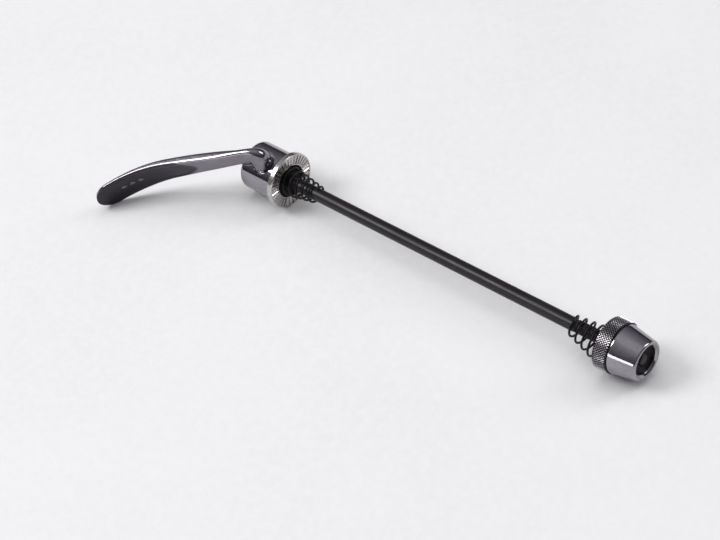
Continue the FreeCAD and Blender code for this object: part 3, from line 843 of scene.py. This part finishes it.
        stations = [start + (tip_start - start) * index / self.arm_rings
                    for index in range(1, self.arm_rings + 1)]
        stations += [end - self.tip_length * (1 - math.sin(math.pi / 2 * index / self.tip_rings))
                     for index in range(1, self.tip_rings)]
        for s in stations:
            middle, half, thin = self.half_sizes(s)
            tip = smooth((s - end + 2.2) / 2.2)
            thin *= 1 - 0.55 * tip
            flat = smooth((s - start - 2) / 16)
            square = ROUND_POWER + (self.flat_power - ROUND_POWER) * flat - 3.5 * tip
            ring, share = [], []
            for u, v in self.outline(square):
                sunk = self.hollow(s, u) if v < -0.5 else 0.0
                # Painted dark reflection, over a duller polish, on the blade's inner face.
                dark = self.painted_reflection_share(s, u) * smooth((-0.35 - v) / 0.3)
                deep = v * thin + min(self.hollow_depth, thin * 0.5) * sunk
                ring.append(self.surface(s, u * half, deep, middle, thin))
                share.append(dark)
            rings.append(ring)
            shares.append(share)
        return rings, shares

    def surface(self, s: float, across: float, deep: float, middle: float, thin: float) -> Vector:
        """Find a place on or in the blade.

        Args:
            s: Distance along the inner face.
            across: Distance from the blade's middle line.
            deep: Distance outwards from its middle layer.
            middle: Height of the middle line at s.
            thin: Half thickness at s.

        Returns:
            The place in metres.
        """
        angle = self.direction(s)
        spot = self.inner(s) + Vector((math.sin(angle), -math.cos(angle))) * (thin + deep)
        return self.to_frame(spot.x, spot.y, middle + across)

    def build(self) -> None:
        """Loft the lever, add its plain raised marks and dress the shaft in it."""
        rings, shares = self.rings()
        count = len(rings[0])
        last = (len(rings) - 1) * count
        points = [point for ring in rings for point in ring]
        faces = [(row + step, row + (step + 1) % count, row + count + (step + 1) % count, row + count + step)
                 for row in range(0, last, count) for step in range(count)]
        for base, ring in ((0, rings[0]), (last, rings[-1])):
            hub = len(points)
            points.append(sum(ring, Vector()) / count)
            faces += [(base + step, base + (step + 1) % count, hub) for step in range(count)]
        lever = new_piece("lever", points, faces, FORGED_CHROME)
        # The mask of the painted dark reflection and the duller polish on the blade's inner face.
        dull_and_painted_reflection = lever.data.attributes.new("dull_and_painted_reflection", "FLOAT", "POINT")
        flat = [share for row in shares for share in row] + [0.0, 0.0]
        for index, share in enumerate(flat[:len(lever.data.vertices)]):
            dull_and_painted_reflection.data[index].value = share
        finer = lever.modifiers.new("finer", "SUBSURF")
        finer.levels = finer.render_levels = 1
        settle(lever, "lever", "dark_chrome", "lever_arm")
        for index, s in enumerate(self.mark_places, 1):
            settle(self.lozenge("lever_mark_%d" % index, s), "lever", "dark_chrome")
        for node, finish in (("cam_shaft", HARD_STEEL), ("cam_sleeve", TURNED_BRASS),
                             ("retaining_ring", HARD_STEEL)):
            dress(node, finish)

    def lozenge(self, name: str, s: float) -> bpy.types.Object:
        """Raise a small plain lozenge on the hollow's floor.

        Args:
            name: The piece's name.
            s: Its middle, along the blade.

        Returns:
            The raised mark.
        """
        (long_half, wide_half), steps = self.mark_half, self.mark_steps
        points, faces = [], []
        for index in range(steps + 1):
            run = 2 * index / steps - 1
            for other in range(steps + 1):
                side = 2 * other / steps - 1
                room = 1 - abs(run)
                at = s + run * long_half
                middle, _, thin = self.half_sizes(at)
                floor = -thin + min(self.hollow_depth, thin * 0.5)
                lift = smooth(min(room, 1 - abs(side)) / 0.3) * self.mark_height
                points.append(self.surface(at, side * wide_half * room, floor + 0.02 - lift, middle, thin))
        for index in range(steps):
            for other in range(steps):
                corner = index * (steps + 1) + other
                faces.append((corner, corner + 1, corner + steps + 2, corner + steps + 1))
        return new_piece(name, points, faces, DULLED_CHROME)


@dataclass
class Rod:
    """Black rod with a rolled thread on its nut end.

    Attributes:
        radius: Of the plain part.
        top, thread_start, end: The end in the eye, the thread's start and the nut end, along Y.
        thread_root, pitch: Of the thread.
        ridge: Radius of the four-sided wire that stands for the thread's ridge.
        edge: Length of the small bevels.
        around, per_turn: Facets round the rod, and points along each turn of the thread.
    """

    radius: float = 2.5
    top: float = 6.0
    thread_start: float = -133.0
    end: float = -162.3
    thread_root: float = 2.13
    ridge: float = 0.32
    pitch: float = 0.8
    edge: float = 0.1
    around: int = 96
    per_turn: int = 32

    def build(self) -> None:
        """Turn the rod, wind its thread and dress its eye."""
        root, edge = self.thread_root, self.edge
        section = rounded([
            (0, self.end, 0), (root - 0.35, self.end, edge), (root, self.end + 0.4, edge),
            (root, self.thread_start - 0.4, edge), (self.radius, self.thread_start, edge),
            (self.radius, self.top, 0), (0, self.top, 0)])
        rod = lathe("rod", section, BLACKED_STEEL, segments=self.around)
        settle(rod, "rod", "black_oxide_steel", "skewer_rod")
        turns = (self.thread_start - self.end - 1.6) / self.pitch
        place = Matrix.Translation((0, (self.end + 0.6) * MM, 0)) @ Matrix.Rotation(-math.pi / 2, 4, "X")
        thread = Coil(root, root, turns * self.pitch, turns, self.ridge, sides=4, left_hand=False,
                      per_turn=self.per_turn)
        ridge = thread.build("rod_thread", BLACKED_STEEL, place)
        settle(ridge, "rod", "black_oxide_steel")
        dress("rod_eye", BLACKED_STEEL)


@dataclass
class Springs:
    """Two conical springs, wound from the same black wire.

    Attributes:
        cam, cam_start: The cam side's coil, and where its wide end starts, along Y.
        nut: The nut side's coil, which hangs on the rod.
        nut_off, nut_drop: How far its wide end stands off the nut's face, and hangs low.
        nut_tilt: How far it leans, in degrees.
    """

    cam: Coil = Coil(5.4, 3.12, 14.4, 5.25, 0.42)
    cam_start: float = 0.42
    nut: Coil = Coil(6.1, 3.25, 13.2, 4.2, 0.42)
    nut_off: float = 3.3
    nut_drop: float = 2.85
    nut_tilt: float = 12.0

    def build(self) -> None:
        """Wind both springs where the CAD has them."""
        place = Matrix.Translation((0, self.cam_start * MM, 0)) @ Matrix.Rotation(math.pi / 2, 4, "X")
        cam = self.cam.build("cam_spring_coil", LACQUERED_WIRE, place)
        settle(cam, "cam_spring", "spring_wire", "cam_side_spring")
        lean = math.radians(self.nut_tilt) - math.pi / 2
        place = Matrix.Translation((0, (NUT_FACE_Y + self.nut_off) * MM, -self.nut_drop * MM))
        place = place @ Matrix.Rotation(lean, 4, "X")
        nut = self.nut.build("nut_spring_coil", LACQUERED_WIRE, place)
        settle(nut, "nut_spring", "spring_wire", "nut_side_spring")


@dataclass
class AdjustingNut:
    """Conical nut with a knurled ring, a serrated face and a locking insert.

    Attributes:
        grip_length: Length of the knurled ring.
        grip_foot: Radius of the ring between the knurl's diamonds.
        face_bore: Radius of the ring's seat for the serrated face.
        chamfer: Plain band at either end of the ring.
        knurl_sink, knurl_height: How far the diamonds' feet sink in the ring, and their height.
        knurl_around, knurl_rows: Diamonds in a row, and rows.
        seat: Radius at which the cone carries the ring.
        seat_depth: Depth of the serrated face's seat.
        cone_big, cone_lip: Radius of the cone's wide rim, and length of its straight part.
        cone_small: Radius of the cone's outer end.
        length: Length of the whole nut.
        mouth, mouth_floor: Radius of the mouth, and its floor's distance from the clamping face.
        hub: Radius of the hole for the threaded core.
    """

    grip_length: float = 5.8
    grip_foot: float = 9.52
    face_bore: float = 9.0
    chamfer: float = 0.36
    knurl_sink: float = 0.02
    knurl_height: float = 0.36
    # A real knurl of this size is finer, too fine to show, so these diamonds are drawn coarser.
    knurl_around: int = 62
    knurl_rows: int = 9
    seat: float = 7.6
    seat_depth: float = 1.2
    cone_big: float = 9.15
    cone_lip: float = 0.65
    cone_small: float = 7.4
    length: float = 16.4
    mouth: float = 5.4
    mouth_floor: float = 13.2
    hub: float = 4.5

    def out(self, distance: float) -> float:
        """Place along Y at a distance outwards from the nut's face."""
        return NUT_FACE_Y - distance

    def build(self) -> None:
        """Turn the cone and the ring, roll the knurl and dress the rest."""
        shoulder, back = self.out(self.grip_length), self.out(self.seat_depth)
        cone = lathe("nut_cone", rounded([
            (self.hub, back, 0), (self.seat, back, 0.1), (self.seat, shoulder, 0),
            (self.cone_big, shoulder, 0.32), (self.cone_big, shoulder - self.cone_lip, 0.3),
            (self.cone_small, self.out(self.length), 0.9), (self.mouth + 0.9, self.out(self.length), 0.3),
            (self.mouth, self.out(self.length - 0.7), 0.15), (self.mouth, self.out(self.mouth_floor), 0),
            (self.hub, self.out(self.mouth_floor), 0)], 6), POLISHED_CHROME, closed=True, segments=160)
        settle(cone, "nut", "polished_chrome", "adjusting_nut")
        foot, top = self.grip_foot, self.grip_length
        ring = lathe("nut_grip_body", rounded([
            (self.seat, back, 0), (self.face_bore, back, 0), (self.face_bore, self.out(0), 0),
            (foot - 0.1, self.out(0), 0.08), (foot, self.out(0.15), 0.05),
            (foot, self.out(top - 0.15), 0.05), (foot - 0.3, self.out(top), 0.08),
            (self.seat, self.out(top), 0)], 3), KNURLED_STEEL, closed=True, segments=152)
        settle(ring, "nut", "knurled_steel", "nut_grip_ring")
        pitch = (top - 2 * self.chamfer) / self.knurl_rows
        knurl = Knurl(foot - self.knurl_sink, self.knurl_height, self.knurl_around, self.knurl_rows,
                      self.out(top - self.chamfer - pitch / 2), pitch)
        settle(knurl.build("nut_grip_knurl", KNURLED_STEEL), "nut", "knurled_steel")
        for node, finish in (("nut_face_ring", CUT_STEEL), ("nut_thread_core", HARD_STEEL),
                             ("nut_lock_insert", BLACK_NYLON)):
            dress(node, finish)


@dataclass(frozen=True)
class Softbox:
    """A soft rectangular light that faces the skewer's middle.

    Attributes:
        name: The light's name.
        spot: Its place, in metres.
        size: Its width and height, in metres.
        power: Its power, in watts.
        mirrored: Whether polished faces mirror it.
    """

    name: str
    spot: tuple[float, float, float]
    size: tuple[float, float]
    power: float
    mirrored: bool = True

    def hang(self, aim: Vector) -> None:
        """Hang the light.

        Args:
            aim: The point that it faces, in metres.
        """
        data = bpy.data.lights.new(self.name, "AREA")
        data.shape = "RECTANGLE"
        data.size, data.size_y = self.size
        data.energy = self.power
        lamp = bpy.data.objects.new(self.name, data)
        lamp.location = self.spot
        lamp.visible_glossy = self.mirrored
        lamp.rotation_euler = (aim - Vector(self.spot)).to_track_quat("-Z", "Y").to_euler()
        bpy.context.scene.collection.objects.link(lamp)


@dataclass
class Studio:
    """Pale floor, soft lights and the camera.

    Attributes:
        azimuth, elevation, roll: The camera's turn round Z (0 looks along +Y), height angle and roll,
            in degrees.
        aim, distance: The point that it aims at and its distance from it, in metres.
        lens, sensor: Focal length and the film's width, in millimetres.
        clip: Nearest and farthest distance that it sees, in metres.
        floor_size: Length of the floor's sides, in metres.
        sky: The room's colour at heights from 0, the horizon, to 1, overhead.
        lights: The soft lights.
    """

    azimuth: float = -40.381
    elevation: float = 45.116
    roll: float = -12.232
    distance: float = 0.9
    aim: tuple[float, float, float] = (-0.024857, -0.057059, 0.006367)
    lens: float = 127.5
    sensor: float = 36.0
    clip: tuple[float, float] = (0.01, 20.0)
    floor_size: float = 6.0
    sky: tuple[tuple[float, str], ...] = ((0.0, "#38363a"), (0.10, "#454348"), (0.42, "#77747b"),
                                          (0.72, "#98959b"), (0.90, "#b5b3b8"), (1.0, "#d8d7da"))
    lights: tuple[Softbox, ...] = (
        Softbox("key_light", (-0.75, 0.75, 1.25), (0.7, 0.7), 17),
        Softbox("side_light", (1.1, -0.9, 1.0), (0.5, 1.0), 9),
        Softbox("top_light", (0.1, -0.1, 1.6), (1.4, 1.4), 15, mirrored=False),
        Softbox("strip_light", (-1.35, 0.2, 0.14), (0.8, 0.24), 2.6))

    def camera_turn(self) -> Matrix:
        """Work out the camera's rotation from its angles.

        Returns:
            The rotation.
        """
        round_z, up = math.radians(self.azimuth), math.radians(self.elevation)
        back = Vector((math.sin(round_z) * math.cos(up), -math.cos(round_z) * math.cos(up), math.sin(up)))
        level = (-back).cross(Vector((0, 0, 1))).normalized()
        high = level.cross(-back)
        roll = math.radians(self.roll)
        right = level * math.cos(roll) + high * math.sin(roll)
        return Matrix((right, back.cross(right), back)).transposed()

    def build_room(self) -> None:
        """Lay the floor at the CAD's lowest point and colour the room by height."""
        low = CAD_BOUNDS[0][2]
        half = self.floor_size / 2
        corners = [(x * half, y * half, low) for x, y in ((-1, -1), (1, -1), (1, 1), (-1, 1))]
        new_piece("floor", corners, [(0, 1, 2, 3)], BOARD)
        world = bpy.data.worlds.new("studio")
        bpy.context.scene.world = world
        world.use_nodes = True
        tree = world.node_tree
        way = add_node(tree, "ShaderNodeTexCoord")
        parts = add_node(tree, "ShaderNodeSeparateXYZ", links={0: way.outputs["Generated"]})
        ramp = add_node(tree, "ShaderNodeValToRGB", links={0: parts.outputs["Z"]})
        while len(ramp.color_ramp.elements) < len(self.sky):
            ramp.color_ramp.elements.new(0.5)
        for element, (place, code) in zip(ramp.color_ramp.elements, self.sky):
            element.position = place
            element.color = linear(code)
        tree.links.new(ramp.outputs[0], tree.nodes["Background"].inputs["Color"])
        log.info("floor at %.4f m", low)

    def build(self) -> None:
        """Set up the room, the lights and the camera."""
        self.build_room()
        scene, aim = bpy.context.scene, Vector(self.aim)
        for light in self.lights:
            light.hang(aim)
        scene.view_settings.view_transform = "Standard"
        data = bpy.data.cameras.new("camera")
        data.sensor_width, data.lens = self.sensor, self.lens
        data.clip_start, data.clip_end = self.clip
        turn = self.camera_turn()
        camera = bpy.data.objects.new("camera", data)
        camera.matrix_world = Matrix.Translation(aim + turn @ Vector((0, 0, self.distance))) @ turn.to_4x4()
        scene.collection.objects.link(camera)
        scene.camera = camera


def main() -> None:
    """Build the studio and every sub-assembly."""
    logging.basicConfig(level=logging.INFO, format="%(name)s: %(message)s")
    Studio().build()
    for part in (CamHousing(), Lever(), Rod(), Springs(), AdjustingNut()):
        part.build()
        log.info("built %s", type(part).__name__)


if __name__ == "__main__":
    main()
